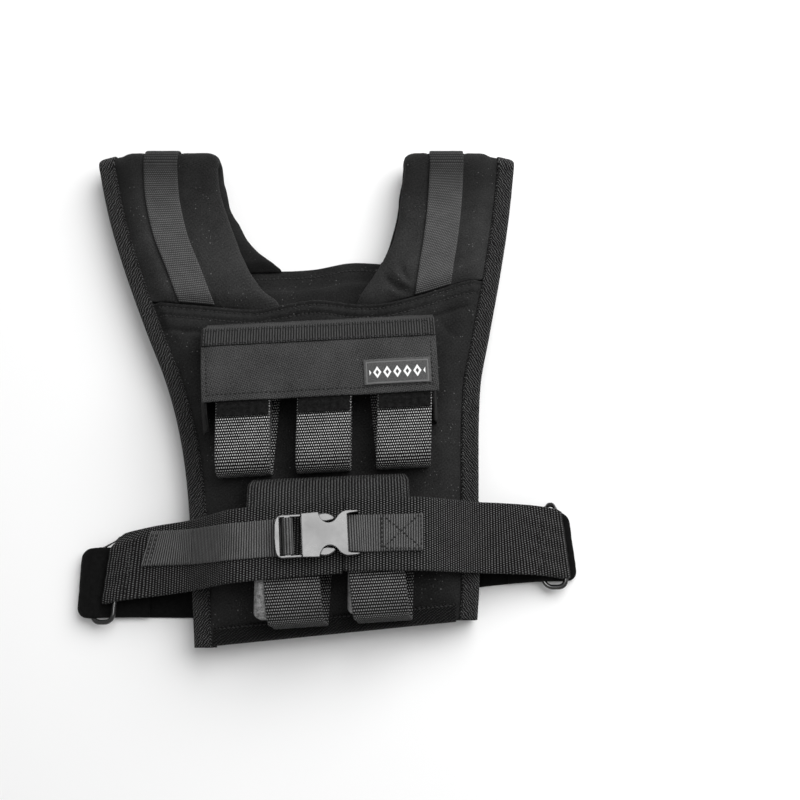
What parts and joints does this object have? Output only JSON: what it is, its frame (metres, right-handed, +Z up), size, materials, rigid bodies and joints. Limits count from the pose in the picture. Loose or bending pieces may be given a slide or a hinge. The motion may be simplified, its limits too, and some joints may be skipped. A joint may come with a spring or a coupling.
{
  "type": "weighted vest",
  "caption": "Short padded vest lying flat, with shoulder straps folded over at the top, iron weights in webbing slings under cloth flaps, and a belt with a side-release buckle.",
  "frame": {"origin": "on the floor, under the middle of the whole vest", "axes": "+Z up from the back panel to the front, +Y from the hem to the shoulders, +X to the wearer's left arm"},
  "size_m": [0.3596, 0.3724, 0.0715],
  "materials": {
    "panel_cloth": "matt woven",
    "strap_cloth": "matt woven, padded",
    "flap_cloth": "matt woven",
    "webbing": "ribbed webbing",
    "light_webbing": "ribbed webbing",
    "sling_webbing": "coarse webbing",
    "binding_tape": "herringbone tape",
    "hook_and_loop": "matt pile",
    "label_cloth": "woven patch",
    "cast_iron": "rough cast, black",
    "moulded_plastic": "glossy",
    "black_wire": "glossy black"
  },
  "bodies": {
    "root": {"back_panel": "panel_cloth", "front_panel": "panel_cloth", "shoulder_strap_left": "strap_cloth", "shoulder_strap_right": "strap_cloth", "shoulder_webbing_left": "light_webbing", "shoulder_webbing_right": "light_webbing", "side_binding_left": "binding_tape", "side_binding_right": "binding_tape", "hem_binding_front": "binding_tape", "hem_binding_back": "binding_tape", "weight_1": "cast_iron", "weight_2": "cast_iron", "weight_3": "cast_iron", "weight_4": "cast_iron", "weight_5": "cast_iron", "sling_1": "sling_webbing", "sling_2": "sling_webbing", "sling_3": "sling_webbing", "sling_4": "sling_webbing", "sling_5": "sling_webbing", "sling_patch_1": "hook_and_loop", "sling_patch_2": "hook_and_loop", "sling_patch_3": "hook_and_loop", "flap_upper": "flap_cloth", "flap_tape": "binding_tape", "label_patch": "label_cloth", "pocket_side_left": "flap_cloth", "pocket_side_right": "flap_cloth", "flap_lower": "webbing", "belt_left": "webbing", "belt_right": "webbing", "ring_left": "black_wire", "ring_right": "black_wire", "side_strap_left": "hook_and_loop", "side_strap_right": "hook_and_loop", "buckle_female": "moulded_plastic", "buckle_male": "moulded_plastic", "buckle_strap_left": "light_webbing", "buckle_strap_right": "light_webbing"}
  },
  "joints": []
}
